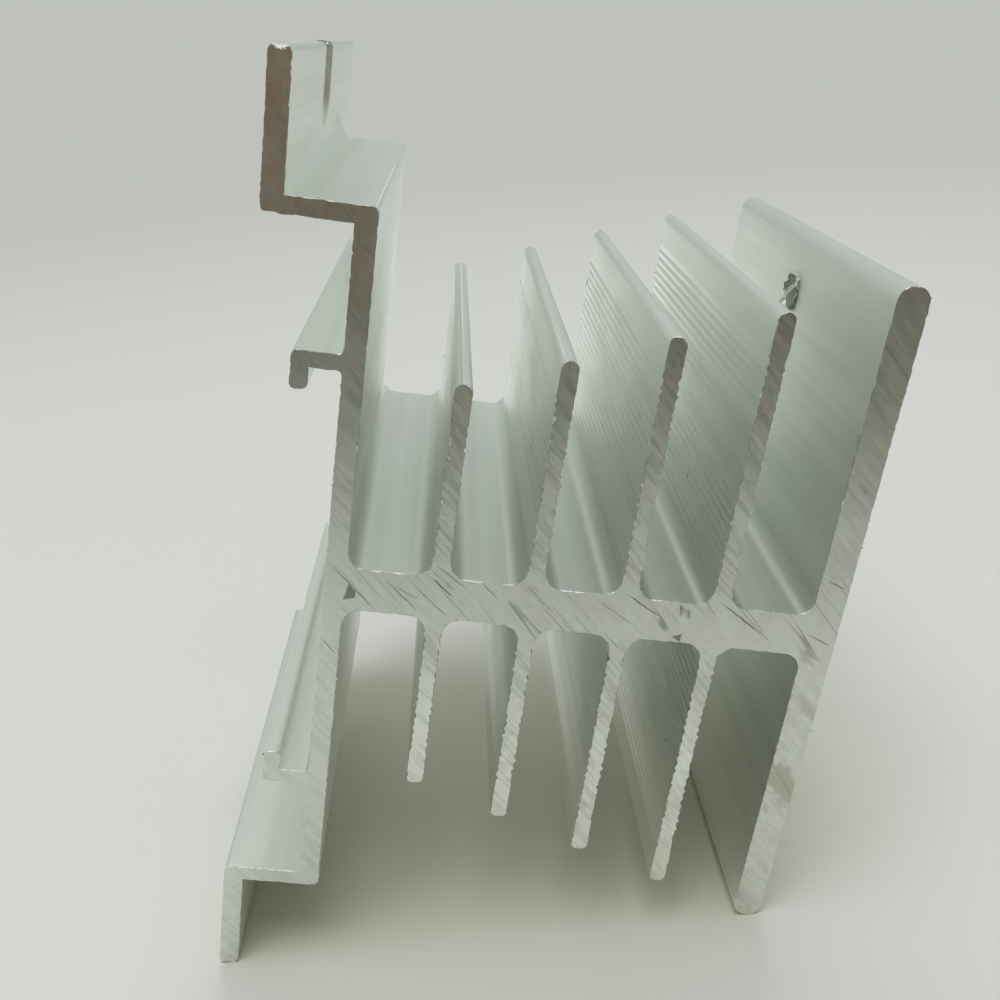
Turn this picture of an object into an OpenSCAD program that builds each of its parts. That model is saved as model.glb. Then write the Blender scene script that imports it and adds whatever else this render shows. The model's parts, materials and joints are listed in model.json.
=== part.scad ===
// Extruded heat sink: one aluminium section sawn to length.
// The section is symmetric above and below the middle plane of its web.
// Millimetres, Z up. The sink rests on the foot flange and on the end of the
// thick plate, so its web slopes down to the right.

/* [Length] */
// Sawn length of the extrusion, along Y
sink_length = 72; // [50:1:110]

/* [Web and thin wall] */
// Thickness of the web that carries the fins
web_t = 5.5; // [4:0.1:8]
// Thickness of the thin wall on the mounting side
wall_t = 2.5; // [2:0.1:4]
// Middle of the web to the outer face of the step at each end of the wall
wall_reach = 44.7; // [41:0.1:47]
// Radius of the root fillets in the channels
root_r = 2.2; // [1:0.1:3]

/* [Mounting flanges] */
// Thickness of the step that joins a flange to the wall
step_t = 2; // [1.6:0.1:3]
// Thickness of a mounting flange
flange_t = 2.5; // [2:0.1:4]
// How far the flange's outer face stands out from the wall's outer face
flange_out = 9.9; // [8:0.1:13]
// Middle of the web to the end of a flange
flange_reach = 59.2; // [57:0.1:66]
// Width of the open screw slot, clear of an M6 screw
slot_w = 8; // [5:0.5:10]
// Depth of the screw slot from the flange's end to its round bottom
slot_depth = 10.4; // [7:0.1:11]
// Radius of the section's outer corners
corner_r = 0.7; // [0.3:0.1:0.9]

/* [Card hooks] */
// Thickness of a hook's arm
hook_t = 1.9; // [1.5:0.1:2.5]
// Middle of the web to the outer face of a hook
hook_reach = 28.5; // [24:0.1:32]
// How far a hook stands out from the wall
hook_out = 5.7; // [5:0.1:7]
// Thickness of the hook's turned lip
lip_t = 2.1; // [2:0.1:2.8]
// Length of the lip from the hook's outer face
lip_drop = 4.5; // [3.5:0.1:6]
// Radius of the fillets where a hook joins the wall
hook_fillet = 0.6; // [0.3:0.1:1]

/* [Fins] */
// Number of fins on each side of the web
fin_count = 4; // [2:1:4]
// Thickness of a fin over its ribs
fin_t = 2.1; // [1.8:0.1:2.8]
// Wall's outer face to the middle of the first fin
first_fin_x = 13.6; // [11:0.1:15]
// Distance from fin to fin
fin_pitch = 11.4; // [9:0.1:12]
// Height of the first fin above the web's face
first_fin_h = 24; // [18:0.1:28]
// Extra height of each next fin
fin_rise = 4.16; // [0:0.02:4.5]
// Corner radius of the tips of the upper fins, nearly a full round
upper_tip_r = 1; // [0.4:0.1:1]
// Corner radius of the tips of the lower fins
lower_tip_r = 0.7; // [0.3:0.1:0.8]

/* [Fine ribs on the fins] */
// Distance from one fine rib to the next
rib_pitch = 1.2; // [1:0.1:2]
// Depth of the groove between two fine ribs
rib_depth = 0.18; // [0.1:0.02:0.3]
// Smooth length left below each fin's tip
smooth_tip = 4.2; // [3:0.1:8]

/* [Thick plate] */
// Thickness of the plate that closes the section
plate_t = 3.8; // [3:0.1:5]
// Wall's outer face to the middle of the plate
plate_x = 61.2; // [58:0.1:66]
// How far the plate runs past each face of the web
plate_h = 41.1; // [38:0.1:44]
// Diameter of the drilled hole in the plate's upper half
hole_d = 5; // [3:0.1:6]
// Height of the hole's middle above the web's face
hole_h = 32.6; // [20:0.1:35]

/* [Hidden] */

// Half the web and the height of a plate end's round from the middle plane
web_half = web_t / 2;
plate_r = plate_t / 2;
plate_round_z = web_half + plate_h - plate_r;

// The sink rests on the inner corner of its foot flange and on the plate's end.
// The floor is the common tangent of those two rounds.
foot_x = flange_t - flange_out - corner_r;
foot_z = corner_r - flange_reach;
rest_dx = plate_x - foot_x;
rest_dz = -plate_round_z - foot_z;
rest_span = sqrt(rest_dx * rest_dx + rest_dz * rest_dz);
rest_tilt = atan2(rest_dz, rest_dx) - asin((plate_r - corner_r) / rest_span);

// Section point to place across the floor, and to height, once tilted
function across(x, z) = x * cos(rest_tilt) + z * sin(rest_tilt);
function height(x, z) = z * cos(rest_tilt) - x * sin(rest_tilt);

// The frame's origin is on the floor, under the middle of the tilted box
box_left = across(corner_r - flange_out, corner_r - flange_reach) - corner_r;
box_right = across(plate_x, plate_round_z) + plate_r;
floor_z = height(foot_x, foot_z) - corner_r;

// Straight root of a fin, the height of one fin and its number of fine ribs
rib_start = root_r + 0.3;
function fin_h(i) = first_fin_h + i * fin_rise;
function rib_count(h) = floor((h - rib_start - smooth_tip) / rib_pitch);

// Facets of the section's small and larger rounds
$fn = 32;

// A straight bar of the section with four rounded corners
module bar(x0, x1, z0, z1, r) {
    translate([x0 + r, z0])
        square([x1 - x0 - 2 * r, z1 - z0]);
    translate([x0, z0 + r])
        square([x1 - x0, z1 - z0 - 2 * r]);
    for (x = [x0 + r, x1 - r], z = [z0 + r, z1 - r])
        translate([x, z])
            circle(r = r);
}

// A concave fillet in the corner at [x, z], opening towards side and up
module fillet(x, z, r, side, up) {
    lap = 0.2;
    translate([x, z])
        mirror([side < 0 ? 1 : 0, 0])
            mirror([0, up < 0 ? 1 : 0])
                difference() {
                    translate([-lap, -lap])
                        square([r + lap, r + lap]);
                    translate([r, r])
                        circle(r = r);
                }
}

// One side of a fin: a ridge at every pitch with a groove between two ridges
function rib_edge(n, side) = [
    for (i = [0 : 2 * n])
        [side * (fin_t / 2 - (i % 2) * rib_depth), rib_start + i * rib_pitch / 2]
];

// The side points again from the top down, to close the outline
function turned(list) = [for (i = [len(list) - 1 : -1 : 0]) list[i]];

// One ribbed fin standing on the web's face, with its two root fillets
module fin(h, tip_r) {
    n = rib_count(h);
    r = min(tip_r, fin_t / 2 - 0.05);
    right = rib_edge(n, 1);
    left = turned(rib_edge(n, -1));
    base = [[fin_t / 2, -1]];
    top = [[fin_t / 2, h - r], [-fin_t / 2, h - r]];
    end = [[-fin_t / 2, -1]];
    polygon(concat(base, right, top, left, end));
    translate([r - fin_t / 2, h - 2 * r])
        square([fin_t - 2 * r, 2 * r]);
    for (side = [-1, 1])
        translate([side * (fin_t / 2 - r), h - r])
            circle(r = r);
    for (side = [-1, 1])
        fillet(side * fin_t / 2, 0, root_r, side, 1);
}

// The row of fins on one side of the web, each taller than the last
module fin_row(tip_r) {
    for (i = [0 : fin_count - 1])
        translate([first_fin_x + i * fin_pitch, web_half])
            fin(fin_h(i), tip_r);
}

// Step and flange at one end of the wall
module flange() {
    translate([corner_r - flange_out, wall_reach - step_t])
        square([flange_out + wall_t - 2 * corner_r, step_t]);
    bar(-flange_out, flange_t - flange_out, wall_reach - step_t, flange_reach, corner_r);
}

// Hook on the wall's outer side, its lip turned towards the web
module hook() {
    lap = 0.5;
    translate([lip_t / 2 - hook_out, hook_reach - hook_t])
        square([hook_out - lip_t / 2 + lap, hook_t]);
    bar(-hook_out, lip_t - hook_out, hook_reach - lip_drop, hook_reach, corner_r);
    fillet(0, hook_reach, hook_fillet, -1, 1);
    fillet(0, hook_reach - hook_t, hook_fillet, -1, -1);
}

// Everything the section repeats above and below its web
module half_section(tip_r) {
    flange();
    hook();
    fin_row(tip_r);
    fillet(wall_t, web_half, root_r, 1, 1);
    fillet(plate_x - plate_r, web_half, root_r, -1, 1);
}

// The whole extruded section, X across the sink and Y up
module section() {
    translate([wall_t / 2, -web_half])
        square([plate_x - wall_t / 2, web_t]);
    bar(0, wall_t, -wall_reach, wall_reach, corner_r);
    translate([plate_x - plate_r, -plate_round_z])
        square([plate_t, 2 * plate_round_z]);
    for (side = [-1, 1])
        translate([plate_x, side * plate_round_z])
            circle(r = plate_r);
    half_section(upper_tip_r);
    mirror([0, 1])
        half_section(lower_tip_r);
}

// Screw slot, open at the flange's end and round at its bottom
module screw_slot() {
    bottom_z = flange_reach - slot_depth + slot_w / 2;
    past = 1;
    translate([-flange_out - past, -slot_w / 2, bottom_z])
        cube([flange_t + 2 * past, slot_w, flange_reach - bottom_z + past]);
    translate([-flange_out - past, 0, bottom_z])
        rotate([0, 90, 0])
            cylinder(d = slot_w, h = flange_t + 2 * past);
}

// Hole drilled through the plate, halfway along the sink
module plate_hole() {
    past = 1;
    translate([plate_x - plate_r - past, 0, web_half + hole_h])
        rotate([0, 90, 0])
            cylinder(d = hole_d, h = plate_t + 2 * past);
}

// The sawn length with its two slots and its hole, set down on the floor
module heat_sink() {
    color([0.72, 0.74, 0.70])
        translate([-(box_left + box_right) / 2, 0, -floor_z])
            rotate([0, rest_tilt, 0])
                difference() {
                    rotate([90, 0, 0])
                        linear_extrude(height = sink_length, center = true)
                            section();
                    screw_slot();
                    mirror([0, 0, 1])
                        screw_slot();
                    plate_hole();
                }
}

heat_sink();
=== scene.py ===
import json
import math
import random

import bpy
import bmesh
from mathutils import Euler, Matrix, Vector, noise


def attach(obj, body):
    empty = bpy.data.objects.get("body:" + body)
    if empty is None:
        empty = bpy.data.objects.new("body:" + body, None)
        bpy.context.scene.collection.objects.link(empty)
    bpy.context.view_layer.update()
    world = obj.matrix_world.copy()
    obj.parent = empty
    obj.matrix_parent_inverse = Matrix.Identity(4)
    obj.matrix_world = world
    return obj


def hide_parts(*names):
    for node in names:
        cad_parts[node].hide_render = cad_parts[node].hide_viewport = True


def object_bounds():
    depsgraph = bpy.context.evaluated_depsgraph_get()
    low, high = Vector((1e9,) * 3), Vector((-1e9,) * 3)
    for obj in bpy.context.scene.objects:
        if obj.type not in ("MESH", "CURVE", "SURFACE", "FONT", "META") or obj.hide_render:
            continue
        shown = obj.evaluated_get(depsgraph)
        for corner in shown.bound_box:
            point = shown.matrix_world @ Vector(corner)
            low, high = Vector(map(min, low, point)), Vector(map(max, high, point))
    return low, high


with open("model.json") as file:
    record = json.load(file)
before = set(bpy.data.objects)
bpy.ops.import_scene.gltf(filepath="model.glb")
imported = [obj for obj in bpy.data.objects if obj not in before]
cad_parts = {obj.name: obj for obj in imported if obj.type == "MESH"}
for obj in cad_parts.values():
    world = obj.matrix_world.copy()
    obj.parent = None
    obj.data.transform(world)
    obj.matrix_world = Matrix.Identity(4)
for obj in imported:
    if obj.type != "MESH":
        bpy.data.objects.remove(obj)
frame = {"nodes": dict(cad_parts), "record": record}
cadLow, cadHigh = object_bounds()
mm = 0.001
hair = 0.001 * mm    # nothing on the sink is smaller

# The sink rests turned about Y. Its mounts say by how much, and where the section's zero is:
# the wall's outer face at the middle of the web.
mounts = {mount["name"]: mount for mount in frame["record"]["mounts"]}
faceOut = Vector(mounts["device_face"]["axis"])
tilt = math.atan2(faceOut.z, -faceOut.x)
wallMiddle = Vector(mounts["device_face"]["pos_m"])
fromSection = Matrix.Rotation(tilt, 3, "Y")
toSection = fromSection.inverted()
halfLength = (cadHigh.y - cadLow.y) / 2
print("frame loaded, section tilted", round(math.degrees(tilt), 2), "degrees")


def sectionOf(point):
    # millimetres across, along and up the section
    return toSection @ (point - wallMiddle) / mm


def settle(piece):
    # a piece modelled on the section's own axes goes to its place in the frame
    piece.data.transform(Matrix.Translation(wallMiddle) @ fromSection.to_4x4())
    piece.data.update()


def deselectAll():
    if bpy.context.mode != "OBJECT":
        bpy.ops.object.mode_set(mode="OBJECT")
    bpy.ops.object.select_all(action="DESELECT")


def makeActive(piece):
    deselectAll()
    piece.select_set(True)
    bpy.context.view_layer.objects.active = piece


def openMesh(piece):
    shape = bmesh.new()
    shape.from_mesh(piece.data)
    return shape


def closeMesh(piece, shape):
    shape.to_mesh(piece.data)
    shape.free()
    piece.data.update()


def sortFaces(piece):
    # extrude leaves its faces in another order each time
    shape = openMesh(piece)
    shape.faces.sort(key=lambda face: min(v.index for v in face.verts) * len(shape.verts)
                     + max(v.index for v in face.verts))
    closeMesh(piece, shape)


def linear(hexText):
    # sRGB hex to linear RGBA
    parts = [int(hexText[i:i + 2], 16) / 255 for i in (1, 3, 5)]
    return tuple(p / 12.92 if p <= 0.04045 else ((p + 0.055) / 1.055) ** 2.4 for p in parts) + (1,)


def newMaterial(name):
    mat = bpy.data.materials.new(name)
    mat.use_nodes = True
    mat.node_tree.nodes.clear()
    return mat


def add(tree, kind, sockets=(), **settings):
    # one node: its settings, and for its sockets, in order or by name, a value or what feeds it
    node = tree.nodes.new("ShaderNode" + kind)
    for name, value in settings.items():
        setattr(node, name, value)
    for name, value in sockets.items() if isinstance(sockets, dict) else enumerate(sockets):
        if isinstance(value, bpy.types.Node):
            value = next(output for output in value.outputs if output.enabled)
        if isinstance(value, bpy.types.NodeSocket):
            tree.links.new(value, node.inputs[name])
        else:
            node.inputs[name].default_value = value
    return node


# for a Map Range that eases in and out
smooth = {"interpolation_type": "SMOOTHSTEP"}


def sectionCoords(tree, turn=0, stretch=(1, 1, 1)):
    # Object coordinates in mm on the section's axes and zero, then turned about the length
    where = add(tree, "TexCoord")
    squared = add(tree, "Mapping",
                  {"Vector": where.outputs["Object"], "Location": toSection @ wallMiddle / -mm,
                   "Rotation": (0, -tilt, 0), "Scale": (1 / mm,) * 3}, vector_type="POINT")
    turned = add(tree, "Mapping", {"Vector": squared, "Rotation": (0, math.radians(turn), 0)},
                 vector_type="POINT")
    return add(tree, "Mapping", {"Vector": turned, "Scale": stretch}, vector_type="POINT")


def metalOutput(mat, colour, rough, normal):
    tree = mat.node_tree
    shader = add(tree, "BsdfPrincipled", {"Base Color": colour, "Metallic": 1.0,
                                          "Roughness": rough, "Normal": normal})
    add(tree, "OutputMaterial", {"Surface": shader})


# Mill-finish extruded aluminium: satin, a little green from the die lubricant,
# with fine lines along the length and a few dark specks
millLook = {
    "metal": "#f5f9f3",
    "darker": "#edf1eb",
    "speck": "#565a50",
    "roughness": (0.37, 0.43),
    "lineWidth": 0.45,          # mm; real die lines are finer and would not show
    "lineHeight": 0.003,        # mm
    "lineStretch": 0.008,       # below 1, a pattern runs on along the length
    "bandWidth": 2.8,           # mm, broad streaks of the die
    "bandStretch": 0.015,
    "cloudWidth": 11.0,         # mm from a glossier to a duller place
    "cloudStretch": 0.5,
    "speckGap": 8.0,            # mm from speck to speck
    "speckStretch": 0.6,
    "speckSize": 0.17,          # mm
    "speckShare": (0.42, 0.5),  # cells with a lower random number stay bare
}


def millFinish():
    look = millLook
    mat = newMaterial("millFinishAluminium")
    tree = mat.node_tree
    lines = add(tree, "TexNoise", {"Vector": sectionCoords(tree, 0, (1, look["lineStretch"], 1)),
                                   "Scale": 1 / look["lineWidth"], "Detail": 3.0, "Roughness": 0.6})
    bands = add(tree, "TexNoise", {"Vector": sectionCoords(tree, 0, (1, look["bandStretch"], 1)),
                                   "Scale": 1 / look["bandWidth"], "Roughness": 0.55})
    cloud = add(tree, "TexNoise", {"Vector": sectionCoords(tree, 0, (1, look["cloudStretch"], 1)),
                                   "Scale": 1 / look["cloudWidth"], "Roughness": 0.55})
    # sparse specks: some cells of a coarse mesh keep a dot
    size = look["speckSize"] / look["speckGap"]
    cells = add(tree, "TexVoronoi", {"Vector": sectionCoords(tree, 0, (1, look["speckStretch"], 1)),
                                     "Scale": 1 / look["speckGap"]})
    dot = add(tree, "MapRange", (cells, size * 1.7, size))
    pick = add(tree, "SeparateColor", (cells.outputs["Color"],))
    kept = add(tree, "MapRange", (pick, *look["speckShare"]), **smooth)
    speck = add(tree, "Math", (dot, kept), operation="MULTIPLY")
    rough = add(tree, "MapRange", (cloud, 0.3, 0.7, *look["roughness"]), **smooth)
    streak = add(tree, "MapRange", (bands, 0.4, 0.7), **smooth)
    tone = add(tree, "Mix", {0: streak, 6: linear(look["metal"]), 7: linear(look["darker"])},
               data_type="RGBA")
    tone = add(tree, "Mix", {0: speck, 6: tone, 7: linear(look["speck"])}, data_type="RGBA")
    bump = add(tree, "Bump", {"Height": lines, "Strength": 0.6,
                              "Distance": look["lineHeight"] * mm})
    metalOutput(mat, tone, rough, bump)
    return mat


# Sawn aluminium: a bright cut face with slanting strokes, blotches of painted reflection, and marks
# of handling
sawnLook = {
    "metal": "#e2e7df",
    "dull": "#ccd0c8",
    # painted light on the lower fins
    "paintedLight": "#f6faf1",
    # painted reflection of the dim warm room in front
    "warm": "#e3d2c6",
    "smear": "#c3c1b3",
    "scratch": "#7b8077",
    "pit": "#8f978b",
    "roughness": (0.22, 0.30),
    "strokeHeight": 0.005,    # mm
    "chatterHeight": 0.03,    # mm
    "scratchDepth": 0.015,    # mm
    "looseShare": 0.6,        # strength of the loose scratches beside the drawn ones
    "wave": 0.35,             # mm that the drawn marks wander
    "wavesPerMm": 0.9,
    # noise: degrees turned, stretch, mm from lump to lump, detail, roughness and distortion;
    # the saw's strokes run down to the right
    "patterns": {
        "strokes": (-44, (0.12, 1, 1), 0.55, 3.0, 0.6, 0.0),
        "chatter": (-40, (0.25, 1, 1), 1.9, 1.0, 0.55, 0.0),
        "smears": (-44, (0.5, 1, 1), 6.0, 3.0, 0.6, 0.4),
        "blotches": (0, (1, 1, 0.45), 1.8, 2.0, 0.55, 0.0),
        "contours": (-44, (0.05, 1, 1), 1.5, 0.0, 0.55, 0.0),
    },
    # what a value fades from and to, and the share that it gives there; places are section mm
    "fades": {
        "offWeb": ("fromWeb", 3.0, 8.0, 0.28, 1.0),
        "offPlate": ("across", 58.5, 60.0, 1.0, 0.55),
        "offWall": ("across", 1.5, 4.0, 0.5, 1.0),
        "thinContours": ("fromContour", 0.022, 0.006),
        "clusters": ("smears", 0.46, 0.6),
        "fewOnWall": ("across", -1, 2, 0.3, 1.0),
        "mostOnWeb": ("fromWeb", 4, 10, 1.0, 0.45),
        "nearEnd": ("along", 1.0, -1.0),
        "brokenUp": ("strokes", 0.35, 0.6, 0.45, 1.0),
        "deepStrokes": ("strokes", 0.56, 0.38),
        "upperWall": ("up", 18, 42),
        "wallAlone": ("across", 9, 3, 0.0, 0.75),
        "towardsPlate": ("across", 15, 45, 0.12, 0.35),
        "blotched": ("blotches", 0.38, 0.64),
        "lowerFins": ("up", -6, -20),
        "pastWall": ("across", 8, 11),
        "beforePlate": ("across", 57, 54),
        "softSmears": ("smears", 0.5, 0.62),
        "onPlate": ("across", 57.5, 59.0),
        "lowOnPlate": ("up", -4, -14),
    },
    # each mask is what its fades share
    "masks": {
        "thin": ("offWeb", "offPlate", "offWall"),   # the thin fins tore more than the rest
        "loose": ("thinContours", "clusters", "fewOnWall", "mostOnWeb"),
        "reflectedRoomOnWall": ("upperWall", "wallAlone"),     # painted reflection of the dim warm room, strongest at the top of the wall
        "paintedLight": ("lowerFins", "pastWall", "beforePlate"),  # painted light: the lower fins' cut faces made brighter, as a light from above would show them
        "smeared": ("softSmears", "onPlate", "lowOnPlate"),
    },
    # drawn marks on the near end: from and to in section mm, and the width
    "scratches": [
        ((0.2, 3.5), (6.4, -2.5), 0.20),
        ((6.6, 2.3), (11.8, -2.3), 0.16),
        ((8.2, 1.1), (11.5, -0.4), 0.12),
        ((9.5, 2.4), (15.6, -2.9), 0.16),
        ((12.6, 4.6), (17.2, 1.5), 0.14),
        ((12.4, 2.8), (15.7, 0.1), 0.24),
        ((18.6, 2.7), (20.9, 0.7), 0.14),
        ((23.6, 3.2), (28.7, -1.2), 0.14),
        ((28.7, -1.2), (30.7, -2.8), 0.12),
        ((0.1, -6.9), (2.3, -9.1), 0.12),
        ((32.1, 2.4), (38.1, -1.2), 0.12),
        ((35.9, 3.3), (41.7, 0.1), 0.24),
        ((47.1, 3.8), (55.6, -1.6), 0.24),
        ((59.2, 0.4), (62.8, -1.2), 0.18),
        ((59.8, 7.9), (62.7, 6.7), 0.16),
        ((43.0, 2.6), (43.3, 0.9), 0.50),
        ((44.0, 2.2), (44.3, 0.5), 0.50),
    ],
    # small torn places, by their corners
    "tears": [
        ((2.9, 0.8), (2.3, -1.6), (3.8, -1.1), (3.9, -0.2)),
        ((42.6, -1.9), (43.8, -2.7), (43.9, -1.4)),
    ],
}


def strokeMark(tree, where, start, end, width):
    # 1 on a thin long ellipse from start to end
    centre = [(a + b) / 2 for a, b in zip(start, end)]
    run = [b - a for a, b in zip(start, end)]
    endless = 10000
    local = add(tree, "Mapping",
                {"Vector": where, "Location": (centre[0], 0, centre[1]),
                 "Rotation": (0, -math.atan2(run[1], run[0]), 0),
                 "Scale": (math.hypot(*run) / 2, endless, width / 2)}, vector_type="TEXTURE")
    size = add(tree, "VectorMath", (local,), operation="LENGTH")
    return add(tree, "MapRange", (size, 1.0, 0.55), **smooth)


def tornPlace(tree, where, corners):
    # 1 inside a small many-cornered place
    middle = Vector([sum(c[i] for c in corners) / len(corners) for i in (0, 1)])
    inside = None
    for a, b in zip(corners, corners[1:] + corners[:1]):
        across = Vector((a[1] - b[1], b[0] - a[0])).normalized()
        if across.dot(middle - Vector(a)) < 0:
            across.negate()
        dot = add(tree, "VectorMath", (where, (across.x, 0, across.y)), operation="DOT_PRODUCT")
        depth = add(tree, "Math", (dot, across.dot(Vector(a))), operation="SUBTRACT")
        inside = add(tree, "Math", (inside, depth), operation="MINIMUM") if inside else depth
    return add(tree, "MapRange", (inside, 0.0, 0.12), **smooth)


def sawnEnd():
    look = sawnLook
    mat = newMaterial("sawnAluminium")
    tree = mat.node_tree
    plain = sectionCoords(tree)
    apart = add(tree, "SeparateXYZ", (plain,)).outputs
    values = {"across": apart["X"], "along": apart["Y"], "up": apart["Z"],
              "fromWeb": add(tree, "Math", (apart["Z"],), operation="ABSOLUTE")}
    for name, (turn, stretch, width, detail, roughness, distortion) in look["patterns"].items():
        values[name] = add(tree, "TexNoise",
                           {"Vector": sectionCoords(tree, turn, stretch), "Scale": 1 / width,
                            "Detail": detail, "Roughness": roughness, "Distortion": distortion})
    # loose scratches are thin contours of a long noise
    contour = add(tree, "Math", (values["contours"], 0.5), operation="SUBTRACT")
    values["fromContour"] = add(tree, "Math", (contour,), operation="ABSOLUTE")
    fades = {name: add(tree, "MapRange", (values[source], *numbers), **smooth)
             for name, (source, *numbers) in look["fades"].items()}
    masks = {}
    for name, (first, *others) in look["masks"].items():
        masks[name] = fades[first]
        for other in others:
            masks[name] = add(tree, "Math", (masks[name], fades[other]), operation="MULTIPLY")

    # the marks of the near end, a little wavy
    wave = look["wave"]
    ripple = add(tree, "TexNoise", {"Vector": plain, "Scale": look["wavesPerMm"], "Detail": 3.0})
    wavy = add(tree, "VectorMath", (ripple.outputs["Color"], (wave, 0, wave), plain),
               operation="MULTIPLY_ADD")
    where = add(tree, "VectorMath", (wavy, (wave / 2, 0, wave / 2)), operation="SUBTRACT")
    drawn = torn = None
    for start, end, width in look["scratches"]:
        line = strokeMark(tree, where, start, end, width)
        drawn = add(tree, "Math", (drawn, line), operation="MAXIMUM") if drawn else line
    for corners in look["tears"]:
        place = tornPlace(tree, where, corners)
        torn = add(tree, "Math", (torn, place), operation="MAXIMUM") if torn else place
    torn = add(tree, "Math", (torn, fades["nearEnd"]), operation="MULTIPLY")
    for fade in ("brokenUp", "nearEnd"):
        drawn = add(tree, "Math", (drawn, fades[fade]), operation="MULTIPLY")
    loose = add(tree, "Math", (masks["loose"], look["looseShare"]), operation="MULTIPLY")
    marks = add(tree, "Math", (loose, drawn), operation="MAXIMUM")

    # painted reflection: the dim warm room shows in blotches, most at the top of the wall and more
    # towards the plate
    reflectedRoom = add(tree, "Math", (masks["reflectedRoomOnWall"], fades["towardsPlate"]), operation="ADD")
    reflectedRoom = add(tree, "Math", (reflectedRoom, fades["blotched"]), operation="MULTIPLY")
    # deep strokes look dull, half as much under the painted light of the lower fins
    dull = add(tree, "Math", (fades["deepStrokes"], masks["thin"]), operation="MULTIPLY")
    dull = add(tree, "Math", (dull, add(tree, "MapRange", (masks["paintedLight"], 0, 1, 1.0, 0.5))),
               operation="MULTIPLY")
    tone = linear(look["metal"])
    for mask, colour in ((masks["paintedLight"], "paintedLight"), (reflectedRoom, "warm"), (dull, "dull"),
                         (masks["smeared"], "smear"), (marks, "scratch"), (torn, "pit")):
        tone = add(tree, "Mix", {0: mask, 6: tone, 7: linear(look[colour])}, data_type="RGBA")
    rough = add(tree, "MapRange", (values["smears"], 0.3, 0.7, *look["roughness"]), **smooth)
    # the saw's relief in mm
    grooves = add(tree, "Math", (values["strokes"], masks["thin"]), operation="MULTIPLY")
    grooves = add(tree, "Math", (grooves, look["strokeHeight"]), operation="MULTIPLY")
    chatter = add(tree, "Math", (values["chatter"], look["chatterHeight"]), operation="MULTIPLY")
    height = add(tree, "Math", (grooves, chatter), operation="ADD")
    depth = add(tree, "Math", (marks, look["scratchDepth"]), operation="MULTIPLY")
    height = add(tree, "Math", (height, depth), operation="SUBTRACT")
    metalOutput(mat, tone, rough, add(tree, "Bump", {"Height": height, "Distance": mm}))
    return mat


# Milled aluminium in the slots and the drilled hole: dull, with rings of the cutter
milledLook = {
    "metal": "#dfe2d8",
    "ring": "#cfd2c7",
    "roughness": (0.6, 0.75),
    "ringWidth": 0.3,    # mm
    "ringHeight": 0.02,  # mm
}


def milledCut():
    look = milledLook
    mat = newMaterial("milledAluminium")
    tree = mat.node_tree
    rings = add(tree, "TexNoise", {"Vector": sectionCoords(tree, 0, (1, 0.1, 0.1)),
                                   "Scale": 1 / look["ringWidth"], "Roughness": 0.55})
    shown = add(tree, "MapRange", (rings, 0.3, 0.7), **smooth)
    tone = add(tree, "Mix", {0: shown, 6: linear(look["ring"]), 7: linear(look["metal"])},
               data_type="RGBA")
    rough = add(tree, "MapRange", (rings, 0.3, 0.7, *look["roughness"]), **smooth)
    bump = add(tree, "Bump", {"Height": rings, "Strength": 0.5,
                              "Distance": look["ringHeight"] * mm})
    metalOutput(mat, tone, rough, bump)
    return mat


# Freshly torn aluminium of burrs and chips: the brightest metal, crumpled
tornLook = {
    "metal": "#f2f4ef",
    "fold": "#b9bcb0",
    "roughness": (0.16, 0.34),
    "foldWidth": 0.35,    # mm
    "foldHeight": 0.06,   # mm
}


def tornMetal():
    look = tornLook
    mat = newMaterial("tornAluminium")
    tree = mat.node_tree
    folds = add(tree, "TexNoise", {"Vector": sectionCoords(tree), "Scale": 1 / look["foldWidth"],
                                   "Detail": 3.0, "Roughness": 0.6})
    shown = add(tree, "MapRange", (folds, 0.45, 0.65), **smooth)
    tone = add(tree, "Mix", {0: shown, 6: linear(look["metal"]), 7: linear(look["fold"])},
               data_type="RGBA")
    rough = add(tree, "MapRange", (folds, 0.3, 0.7, *look["roughness"]), **smooth)
    bump = add(tree, "Bump", {"Height": folds, "Strength": 0.7,
                              "Distance": look["foldHeight"] * mm})
    metalOutput(mat, tone, rough, bump)
    return mat


# The extrusion: the solid's own form, with softened ribs and edges as the saw left them
sinkLook = {
    "ribSoftening": 0.11,            # mm off each ridge and groove of the fine ribs
    "ribFold": (30, 37),             # degrees between the faces at a ridge or groove
    "rings": (0.1, 0.3, 0.8, 1.3),   # mm from each sawn end
    "pastRings": 1.4,                # mm
    "step": 0.5,                     # mm between points along the outline
    "leastOut": 0.2,                 # part of a normal in the section that makes it the outline's
    "bite": 0.08,                    # mm, how far the sawn edge wanders
    "finBite": 0.19,                 # the same along the ribs of the fins
    "biteShares": ((0.02, 1), (0.12, 0.8), (0.32, 0.15)),  # up to a depth in mm, share of it
    "waves": (1.1, 3.1),             # slow and quick ones per mm
    "waveShare": 0.7,
    "farShift": (7.3, 0, 7.3),       # mm, the far end wanders in its own way
    "rimBevel": 0.08,                # mm
    "bevelWaves": 1.3,               # per mm
    # each fin's middle, and where its ribs begin and end, mm
    "fins": ((13.6, 22.6), (25.0, 26.7), (36.4, 30.9), (47.8, 35.0)),
    "finHalf": 1.3, "ribsFrom": 5,
    "nick": {"x": -8.6, "halfWidth": 0.85, "depth": 0.6, "reach": 0.6, "below": 0.8},
    "tornRim": 0.09,                 # mm along the length
    "slot": {"left": -7, "from": 48, "half": 4.0},
    "hole": {"right": 59, "height": 35.35, "radius": 2.5},
    "touch": 0.02,                   # mm
}


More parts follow.
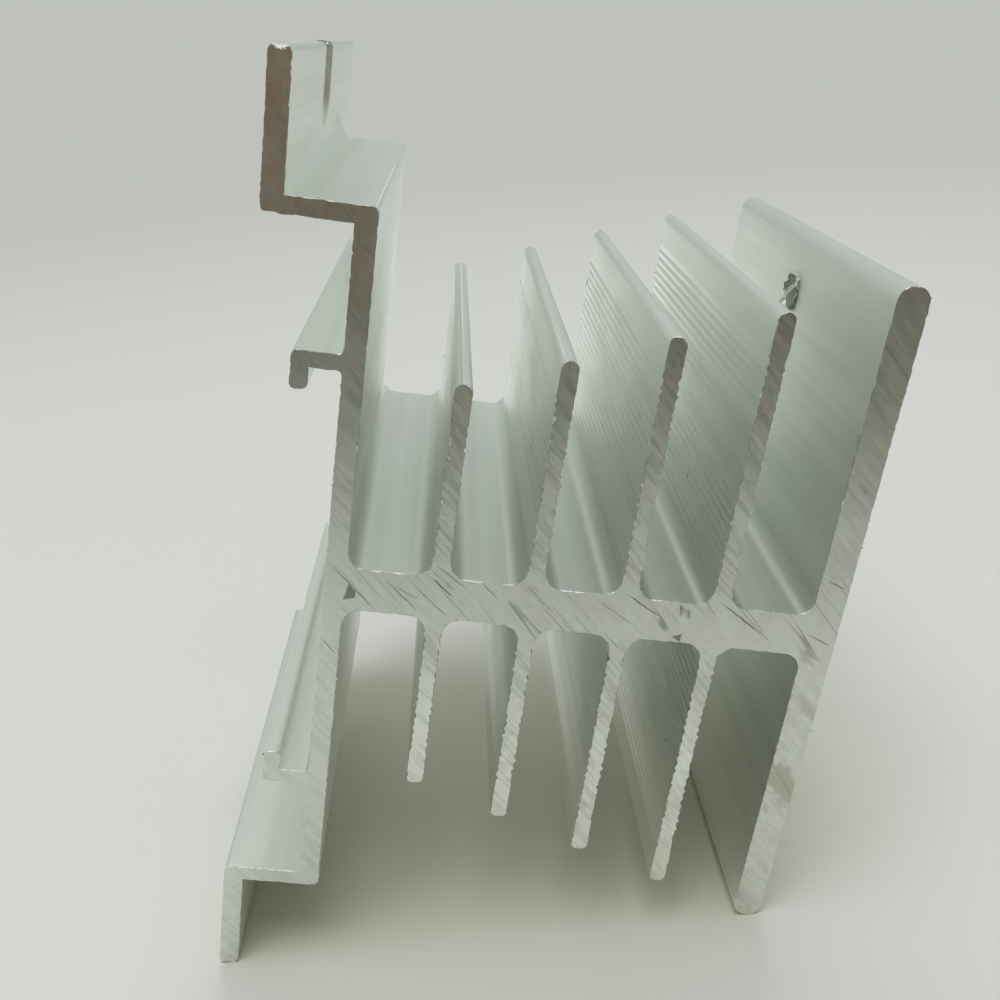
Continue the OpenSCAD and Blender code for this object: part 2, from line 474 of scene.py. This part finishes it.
def copyOfNode(node, name):
    piece = bpy.data.objects.new(name, frame["nodes"][node].data.copy())
    bpy.context.scene.collection.objects.link(piece)
    piece.data.name = name
    piece.data.materials.clear()
    makeActive(piece)
    bpy.ops.object.mode_set(mode="EDIT")
    bpy.ops.mesh.select_all(action="SELECT")
    bpy.ops.mesh.remove_doubles(threshold=2 * hair)
    bpy.ops.mesh.dissolve_limited(angle_limit=math.radians(0.5))    # flats become one face
    bpy.ops.object.mode_set(mode="OBJECT")
    return piece


def softenRibs(piece):
    # the die rounds every ridge and groove a little
    shape = openMesh(piece)
    least, most = (math.radians(angle) for angle in sinkLook["ribFold"])
    ribs = []
    for edge in shape.edges:
        a, b = (v.co for v in edge.verts)
        wholeLength = abs(a.y - b.y) > halfLength * 1.9
        if wholeLength and edge.is_manifold and least < edge.calc_face_angle() < most:
            ribs.append(edge)
    bmesh.ops.bevel(shape, geom=ribs, offset=sinkLook["ribSoftening"] * mm, offset_type="OFFSET",
                    segments=2, profile=0.5, affect="EDGES")
    closeMesh(piece, shape)
    print("softened ridges and grooves:", len(ribs))


def ringEnds(piece):
    # rings of edges close to both sawn ends
    makeActive(piece)
    bpy.ops.object.mode_set(mode="EDIT")
    for side in (-1, 1):
        for depth in sinkLook["rings"]:
            bpy.ops.mesh.select_all(action="SELECT")
            bpy.ops.mesh.bisect(plane_co=(0, side * (halfLength - depth * mm), 0),
                                plane_no=(0, 1, 0), threshold=hair)
    bpy.ops.object.mode_set(mode="OBJECT")


def turnSlivers(shape):
    # a triangle without height shades badly, so its longest edge is turned, until none is left
    total = turned = 0
    for attempt in range(40):
        total, turned = total + turned, 0
        for face in list(shape.faces):
            if not face.is_valid or len(face.verts) != 3:
                continue
            longest = max(face.edges, key=lambda edge: edge.calc_length())
            if face.calc_area() * 2 > longest.calc_length() * hair:
                continue
            if all(len(other.verts) == 3 for other in longest.link_faces) \
                    and bmesh.utils.edge_rotate(longest, False):
                turned += 1
        if not turned:
            break
    print("slivers turned:", total)


def splitOutline(piece):
    # long straight stretches of the outline get points every step, once the
    # many-sided faces are triangles that no new edge can cross
    shape = openMesh(piece)
    bmesh.ops.triangulate(shape, faces=[f for f in shape.faces if len(f.verts) > 4])
    groups = {}
    for edge in shape.edges:
        a, b = (v.co for v in edge.verts)
        cuts = round((a - b).length / mm / sinkLook["step"]) - 1
        byEnd = halfLength - abs(a.y) < sinkLook["pastRings"] * mm
        acrossCut = all(abs(face.normal.y) > 0.9 for face in edge.link_faces)
        if abs(a.y - b.y) < hair and byEnd and cuts > 0 and not acrossCut:
            groups.setdefault(cuts, []).append(edge)
    for cuts, edges in sorted(groups.items()):
        bmesh.ops.subdivide_edges(shape, edges=edges, cuts=cuts)
    bmesh.ops.triangulate(shape, faces=[f for f in shape.faces if len(f.verts) > 4])
    turnSlivers(shape)
    closeMesh(piece, shape)


def outwards(vert):
    # the part of a point's normal that lies in the section
    return Vector((vert.normal.x, 0, vert.normal.z))


def tearEnds(piece):
    # the sawn edge wanders in and out, and tears more across the fine ribs
    look = sinkLook
    shape = openMesh(piece)
    shape.normal_update()
    moves = []
    for vert in shape.verts:
        depth = (halfLength - abs(vert.co.y)) / mm
        share = next((share for reach, share in look["biteShares"] if depth < reach), 0)
        out = outwards(vert)
        if not share or out.length < look["leastOut"]:
            continue
        place = sectionOf(vert.co)
        onRibs = any(abs(place.x - x) < look["finHalf"] and look["ribsFrom"] < abs(place.z) < top
                     for x, top in look["fins"])
        bite = look["finBite"] if onRibs else look["bite"]
        spot = Vector((place.x, 0, place.z)) + Vector(look["farShift"]) * (vert.co.y > 0)
        wander = sum(noise.noise(spot * wave) * look["waveShare"] for wave in look["waves"])
        # the rim itself is broken by a small ragged bevel
        rag = noise.noise(spot * look["bevelWaves"] + Vector((0, 9, 0)))
        broken = look["rimBevel"] * max(0, 0.5 + 2 * rag) if share == 1 else 0
        moves.append((vert, out.normalized() * ((wander * share * bite - broken) * mm)))
    for vert, move in moves:
        vert.co += move
    closeMesh(piece, shape)


def cutNick(piece):
    # a V nick in the top of the upper flange at the near end
    nick = sinkLook["nick"]
    places = [sectionOf(vert.co) for vert in piece.data.vertices]
    top = max(place.z for place in places)
    for vert, place in zip(piece.data.vertices, places):
        depth = place.y + halfLength / mm
        aside = abs(place.x - nick["x"]) / nick["halfWidth"]
        if depth < nick["reach"] and aside < 1 and place.z > top - nick["below"]:
            drop = nick["depth"] * (1 - aside) * (1 - depth / nick["reach"])
            vert.co += fromSection @ Vector((0, 0, -drop * mm))


def recutEnds(piece):
    # each sawn face becomes one face again, cut into clean triangles
    shape = openMesh(piece)
    for side in (-1, 1):
        sawn = [face for face in shape.faces if abs(face.normal.y) > 0.9
                and all(abs(v.co.y - side * halfLength) < hair for v in face.verts)]
        whole = bmesh.ops.dissolve_faces(shape, faces=sawn)["region"]
        bmesh.ops.triangulate(shape, faces=whole, ngon_method="EAR_CLIP")
    closeMesh(piece, shape)


def assignFinishes(piece):
    touch, slot, hole = (sinkLook[name] for name in ("touch", "slot", "hole"))
    for finish in (millFinish(), sawnEnd(), milledCut(), torn):
        piece.data.materials.append(finish)
    across = fromSection @ Vector((1, 0, 0))
    for face in piece.data.polygons:
        place = sectionOf(face.center)
        edgeOn = abs(face.normal.dot(across)) < 0.5
        inSlot = place.x < slot["left"] and abs(place.z) > slot["from"] \
            and abs(place.y) < slot["half"] + touch
        inHole = place.x > hole["right"] and abs(place.y) < hole["radius"] + touch \
            and abs(place.z - hole["height"]) < hole["radius"] + touch
        depth = halfLength - abs(face.center.y)
        if abs(depth) < touch * mm and abs(face.normal.y) > 0.8:
            face.material_index = 1
        elif depth < sinkLook["tornRim"] * mm:
            face.material_index = 3
        elif edgeOn and (inSlot or inHole):
            face.material_index = 2


def hardenRims(piece):
    # flat sawn faces and cuts keep their own shading up to the rim
    shape = openMesh(piece)
    for edge in shape.edges:
        if len({face.material_index for face in edge.link_faces}) > 1:
            edge.smooth = False
    closeMesh(piece, shape)


def ridesAsSink(piece):
    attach(piece, "root")


def buildSink():
    sink = copyOfNode("heat_sink", "extrudedSink")
    softenRibs(sink)
    ringEnds(sink)
    splitOutline(sink)
    tearEnds(sink)
    cutNick(sink)
    recutEnds(sink)
    assignFinishes(sink)
    makeActive(sink)
    bpy.ops.object.shade_smooth_by_angle(angle=math.radians(30))
    hardenRims(sink)
    ridesAsSink(sink)
    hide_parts("heat_sink")
    print("extrusion:", len(sink.data.polygons), "faces")
    return sink


torn = tornMetal()
sink = buildSink()


def finishTorn(piece, thickness, offset=0, onSection=True):
    # a torn sheet gets its thickness, its metal and its place
    makeActive(piece)
    bpy.ops.object.modifier_add(type="SOLIDIFY")
    solid = piece.modifiers[-1]
    solid.thickness = thickness * mm
    solid.offset = offset
    bpy.ops.object.modifier_apply(modifier=solid.name)
    piece.data.materials.clear()
    piece.data.materials.append(torn)
    bpy.ops.object.shade_smooth_by_angle(angle=math.radians(40))
    if onSection:
        settle(piece)
    ridesAsSink(piece)


def newGrid(name, across, along):
    # a grid one unit wide, to be bent into a torn sheet
    deselectAll()
    bpy.ops.mesh.primitive_grid_add(x_subdivisions=across, y_subdivisions=along, size=1)
    grid = bpy.context.active_object
    grid.name = name
    return grid


# Small crumpled chip left in the nick, in section mm
chipLook = {
    "at": (-8.6, -35.75, 58.95),
    "size": (1.7, 0.75),
    "crumple": 0.28, "folds": (2.6, 2.3),    # mm, and folds per mm
    "sag": 0.35,
    "ragged": 0.12,
    "thickness": 0.06,
}


def buildChip():
    look = chipLook
    chip = newGrid("nickChip", 12, 7)
    wide, deep = look["size"]
    slow, quick = look["folds"]
    for vert in chip.data.vertices:
        x, y = vert.co.x * wide, vert.co.y * deep
        spot = Vector((x, y, 0)) * slow
        lift = (noise.noise(spot) + noise.noise(spot * quick) * 0.6) * look["crumple"]
        sag = -look["sag"] * (1 - abs(x) / wide * 2) * (0.5 - y / deep)
        edge = noise.noise(spot + Vector((4, 4, 4))) * look["ragged"]
        vert.co = (Vector((x + edge, y + edge, lift + sag)) + Vector(look["at"])) * mm
    finishTorn(chip, look["thickness"])


# Ragged crown that the drill pushed up round the plate's hole
crownLook = {
    "face": 59.3,                   # mm, the plate's inner face on the section
    "radius": (2.45, 2.6, 2.75),    # mm, ring by ring
    "rise": (0.0, 0.2, 0.35),       # mm, ring by ring
    "ragged": 0.4,                  # mm
    "teeth": (3.5, 9.0), "flareTeeth": 6, "flare": 0.16,
    "points": 44, "thickness": 0.14,
}


def buildCrown():
    look = crownLook
    deselectAll()
    radius, rise = look["radius"], look["rise"]
    bpy.ops.mesh.primitive_circle_add(vertices=look["points"], radius=radius[0] * mm,
                                      fill_type="NOTHING")
    crown = bpy.context.active_object
    crown.name = "drillBurr"
    bpy.ops.object.mode_set(mode="EDIT")
    for low, high in zip(rise, rise[1:]):
        up = (0, 0, (high - low) * mm)
        bpy.ops.mesh.extrude_edges_move(TRANSFORM_OT_translate={"value": up})
    bpy.ops.object.mode_set(mode="OBJECT")
    sortFaces(crown)
    slow, quick = look["teeth"]
    for vert in crown.data.vertices:
        level = min(range(3), key=lambda i: abs(vert.co.z / mm - rise[i]))
        share = rise[level] / rise[-1]
        turn = Vector((vert.co.x, vert.co.y, 0)).normalized()
        rag = noise.noise(turn * slow) + noise.noise(turn * quick) * 0.7
        wave = noise.noise(turn * look["flareTeeth"] + Vector((2, 2, 2)))
        flare = 1 + wave * look["flare"] * share
        height = max(rise[level] + rag * look["ragged"] * share, -sinkLook["touch"])
        vert.co = (turn * radius[level] * flare + Vector((0, 0, height))) * mm
    # the circle's axis turns to look out of the plate's inner face
    middle = Vector((look["face"], 0, sinkLook["hole"]["height"])) * mm
    crown.data.transform(Matrix.Translation(middle) @ Matrix.Rotation(math.radians(-90), 4, "Y"))
    finishTorn(crown, look["thickness"])


# Curl of swarf that hangs across the hole, in section mm
curlLook = {
    "path": ((59.35, -2.3, 37.8), (59.1, -1.5, 36.8), (58.75, -0.7, 35.7), (58.45, 0.1, 34.5),
             (58.1, 1.0, 33.3)),
    "width": 1.0,
    "turns": (0, 8),                        # degrees from its first to its last point
    "kinks": 1.7, "kinkDepth": 0.25,        # per mm, and mm
    "thickness": 0.1,
}


def buildCurl():
    look = curlLook
    curl = newGrid("drillCurl", 24, 3)
    path = [Vector(p) for p in look["path"]]
    firstTurn, lastTurn = look["turns"]
    for vert in curl.data.vertices:
        # a narrow ribbon that follows its path and twists on the way
        along = (vert.co.x + 0.5) * (len(path) - 1)
        part = min(int(along), len(path) - 2)
        run = path[part + 1] - path[part]
        spot = path[part].lerp(path[part + 1], along - part)
        turn = math.radians(firstTurn + (lastTurn - firstTurn) * (vert.co.x + 0.5))
        flat = Vector((1, 0, 0)).cross(run).normalized()
        side = Matrix.Rotation(turn, 3, run.normalized()) @ flat
        width = look["width"] * (1 - abs(vert.co.x) * 1.1)
        kink = noise.noise(spot * look["kinks"]) * look["kinkDepth"]
        vert.co = (spot + side * (vert.co.y * width + kink)) * mm
    finishTorn(curl, look["thickness"])


# Small burr at the mouth of the upper slot, in section mm
lipLook = {
    "from": (-7.35, -4.3, 59.1), "to": (-7.35, -6.6, 59.35),
    "width": 0.4, "narrowest": 0.08,
    "bulge": 0.16,
    "ragged": 0.08, "waves": 2.5,    # mm, and waves per mm
    "thickness": 0.08,
}


def buildSlotLip():
    look = lipLook
    lip = newGrid("slotLip", 10, 4)
    start, end = Vector(look["from"]), Vector(look["to"])
    side = (end - start).cross(Vector((1, 0, 0))).normalized()
    for vert in lip.data.vertices:
        part = vert.co.x + 0.5
        spot = start.lerp(end, part)
        inner = min(max(part, look["narrowest"]), 1 - look["narrowest"])
        width = look["width"] * math.sin(math.pi * inner)
        bulge = look["bulge"] * (1 - (2 * vert.co.y) ** 2) \
            + noise.noise(spot * look["waves"]) * look["ragged"]
        vert.co = (spot + side * vert.co.y * width + Vector((bulge, 0, 0))) * mm
    finishTorn(lip, look["thickness"])


# Tiny flakes that still hang on the sawn edges
flakeLook = {
    "count": (110, 70),                          # near end, far end
    "length": (0.18, 0.5),                       # mm
    "height": (0.06, 0.2),                       # mm
    "depth": 0.15, "sunk": 0.02,                 # mm
    "lean": (-0.5, 0.7),                         # radians
    "taper": 0.6, "bend": (0.35, 0.25),          # shares of its width and height
    "stickOut": 0.42,                            # the rest of it is in the metal
    "thickness": 0.03,                           # mm
    "seed": 11,
}


def newFlake():
    # a small plate, narrow towards its free edge, and bent
    deselectAll()
    bpy.ops.mesh.primitive_plane_add(size=1)
    flake = bpy.context.active_object
    bpy.ops.object.mode_set(mode="EDIT")
    bpy.ops.mesh.subdivide(number_cuts=2)
    bpy.ops.object.mode_set(mode="OBJECT")
    sideways, upwards = flakeLook["bend"]
    for vert in flake.data.vertices:
        vert.co.x *= 1 - (vert.co.y + 0.5) * flakeLook["taper"]
        vert.co.z = sideways * vert.co.x ** 2 + upwards * (vert.co.y + 0.5) ** 2
        vert.co.y += flakeLook["stickOut"]
    return flake


def buildFlakes():
    look = flakeLook
    rim = {-1: [], 1: []}
    shape = openMesh(sink)
    shape.normal_update()
    for vert in shape.verts:
        out = outwards(vert)
        atEnd = halfLength - abs(vert.co.y) < sinkLook["touch"] * mm
        if atEnd and out.length > sinkLook["leastOut"]:
            rim[-1 if vert.co.y < 0 else 1].append((vert.co.copy(), out.normalized()))
    shape.free()
    chance = random.Random(look["seed"])
    model = newFlake()
    flakes = []
    for side, count in zip((-1, 1), look["count"]):
        face = Vector((0, side, 0))
        for spot, out in chance.sample(rim[side], count):
            piece = model.copy()
            piece.data = model.data.copy()
            bpy.context.scene.collection.objects.link(piece)
            basis = Matrix((out.cross(face), out, face)).transposed()
            size = Matrix.Diagonal((chance.uniform(*look["length"]) * mm,
                                    chance.uniform(*look["height"]) * mm, look["depth"] * mm))
            lean = Matrix.Rotation(chance.uniform(*look["lean"]), 3, "X")
            piece.data.transform(Matrix.Translation(spot - face * look["sunk"] * mm)
                                 @ (basis @ lean @ size).to_4x4())
            flakes.append(piece)
    bpy.data.objects.remove(model)
    deselectAll()
    for piece in flakes:
        piece.select_set(True)
    bpy.context.view_layer.objects.active = flakes[0]
    bpy.ops.object.join()
    joined = bpy.context.active_object
    joined.name = "edgeFlakes"
    finishTorn(joined, look["thickness"], offset=-1, onSection=False)
    print("edge flakes:", len(flakes))


buildChip()
buildCrown()
buildCurl()
buildSlotLip()
buildFlakes()
print("burrs and chips ready")


# Studio: seamless pale paper under a soft ceiling, a dim room in front
studio = {
    "paper": "#cacbc7",
    "shaded": "#cacab9",          # the paper where the metal around it warms the light
    "shadedReach": 0.08,          # m
    "openness": (0.3, 0.82),      # from all shaded to open paper
    "tableRadius": 3.0,           # m
    "far": "#bec2bb",             # the backdrop
    "fade": (0.2, 1.0),           # m, where the table melts into it
    # seen in reflections only
    "glow": "#f6f9f3",            # brighter paper behind the sink
    "glowStart": (0.12, 0.32),    # m behind the sink's middle
    "glowEnd": (1.2, 0.5),        # m behind it
    "glowSide": (0.13, 0.03),     # m to the right
    "tableEdge": "#6c6b61",       # the unlit end of the table
    "tableFront": (0.10, 0.295),  # m in front, where that end begins
    "frontSlant": 0.3,            # nearer on the right
    "room": "#84735f",            # dim warm room in front of the table
    "roomFront": (-0.2, -0.7),    # where the sky turns into the room, towards the front
    "roomTop": (0.75, 0.3),       # and downwards
    # soft light from above
    "horizon": "#b6bdb6",
    "ceiling": 1.0,               # brightness straight overhead
    "overhead": (0.5, 0.98),      # height in the sky, from the horizon to the ceiling
    "softLight": 0.74,            # share of that light that falls on the paper
}


def tablePaper():
    mat = newMaterial("seamlessPaper")
    tree = mat.node_tree
    where = add(tree, "TexCoord").outputs["Object"]
    apart = add(tree, "SeparateXYZ", (where,)).outputs
    away = add(tree, "VectorMath", (where,), operation="LENGTH")
    ray = add(tree, "LightPath").outputs
    openness = add(tree, "AmbientOcclusion", {"Distance": studio["shadedReach"]}, samples=8)
    lit = add(tree, "MapRange", (openness.outputs["AO"], *studio["openness"]), **smooth)
    hue = add(tree, "Mix", {0: lit, 6: linear(studio["shaded"]), 7: linear(studio["paper"])},
              data_type="RGBA")
    surface = add(tree, "BsdfDiffuse", {"Color": hue})

    fade = add(tree, "MapRange", (away, *studio["fade"]), **smooth)
    # reflections find the paper brighter close behind the sink
    glow = add(tree, "MapRange", (apart["Y"], *studio["glowStart"]), **smooth)
    for value, limits in ((apart["Y"], "glowEnd"), (apart["X"], "glowSide")):
        limit = add(tree, "MapRange", (value, *studio[limits]), **smooth)
        glow = add(tree, "Math", (glow, limit), operation="MULTIPLY")
    # and the table ends for them in front of the sink, where the dim room begins
    slant = add(tree, "Math", (apart["X"], studio["frontSlant"]), operation="MULTIPLY")
    front = add(tree, "Math", (slant, apart["Y"]), operation="SUBTRACT")
    beyond = add(tree, "MapRange", (front, *studio["tableFront"]))
    for share, seenBy, colour in ((fade, "Is Camera Ray", "far"), (glow, "Is Glossy Ray", "glow"),
                                  (beyond, "Is Glossy Ray", "tableEdge")):
        shown = add(tree, "Math", (share, ray[seenBy]), operation="MULTIPLY")
        plain = add(tree, "Emission", {"Color": linear(studio[colour])})
        surface = add(tree, "MixShader", (shown, surface, plain))
    add(tree, "OutputMaterial", {"Surface": surface})
    return mat


def buildTable():
    deselectAll()
    bpy.ops.mesh.primitive_circle_add(vertices=96, radius=studio["tableRadius"], fill_type="NGON")
    table = bpy.context.active_object
    table.name = "table"
    table.data.materials.append(tablePaper())


def buildWorld():
    # a soft ceiling that grows brighter overhead, and the dim room low in front
    world = bpy.data.worlds.new("studioAir")
    world.use_nodes = True
    tree = world.node_tree
    tree.nodes.clear()
    where = add(tree, "TexCoord").outputs["Generated"]
    apart = add(tree, "SeparateXYZ", (where,)).outputs
    ray = add(tree, "LightPath").outputs
    overhead = add(tree, "MapRange", (apart["Z"], *studio["overhead"]), **smooth)
    sky = add(tree, "Mix", {0: overhead, 6: linear(studio["horizon"]),
                            7: (studio["ceiling"],) * 3 + (1,)}, data_type="RGBA")
    room = add(tree, "MapRange", (apart["Y"], *studio["roomFront"]), **smooth)
    low = add(tree, "MapRange", (apart["Z"], *studio["roomTop"]), **smooth)
    for mask in (ray["Is Glossy Ray"], low):
        room = add(tree, "Math", (room, mask), operation="MULTIPLY")
    for share, colour in ((room, "room"), (ray["Is Camera Ray"], "far")):
        sky = add(tree, "Mix", {0: share, 6: sky, 7: linear(studio[colour])}, data_type="RGBA")
    # the paper gets less of this light than the metal mirrors
    full = add(tree, "Math", (ray["Is Glossy Ray"], ray["Is Camera Ray"]), operation="ADD")
    light = add(tree, "Math", (1 - studio["softLight"], full), operation="MULTIPLY")
    light = add(tree, "Math", (light, studio["softLight"]), operation="ADD")
    back = add(tree, "Background", {"Color": sky, "Strength": light})
    add(tree, "OutputWorld", {"Surface": back})
    bpy.context.scene.world = world


# Lamps that metal doesn't mirror: a large one far behind, a small one overhead in front
softboxes = {
    "rearSoftbox": {"at": (0.1, 6.0, 2.6), "size": 4.5, "watts": 250.0},
    "frontSoftbox": {"at": (-0.07, -0.32, 1.3), "size": 0.8, "watts": 8.1},
}


def buildSoftboxes():
    for name, box in softboxes.items():
        deselectAll()
        bpy.ops.object.light_add(type="AREA", location=box["at"])
        lamp = bpy.context.active_object
        lamp.name = name
        lamp.data.shape = "SQUARE"
        lamp.data.size = box["size"]
        lamp.data.energy = box["watts"]
        lamp.visible_glossy = False
        # each one shines at the middle of the sink
        aim = Vector((0, 0, 0.05)) - Vector(box["at"])
        lamp.rotation_euler = aim.to_track_quat("-Z", "Y").to_euler()


# Close and above the near end: metres, degrees and mm
cameraLook = {
    "at": (-0.00269, -0.15626, 0.11517),
    "turn": (67.31, 4.79, -2.13),
    "sensor": 36,
    "lens": 40.53,
    "nearest": 0.005,    # nothing closer is drawn
}


def buildCamera():
    deselectAll()
    bpy.ops.object.camera_add(location=cameraLook["at"])
    camera = bpy.context.active_object
    camera.rotation_euler = Euler([math.radians(a) for a in cameraLook["turn"]])
    camera.data.sensor_width = cameraLook["sensor"]
    camera.data.lens = cameraLook["lens"]
    camera.data.clip_start = cameraLook["nearest"]
    bpy.context.scene.camera = camera


buildTable()
buildWorld()
buildSoftboxes()
buildCamera()
bpy.context.scene.view_settings.view_transform = "Standard"
print("studio ready")
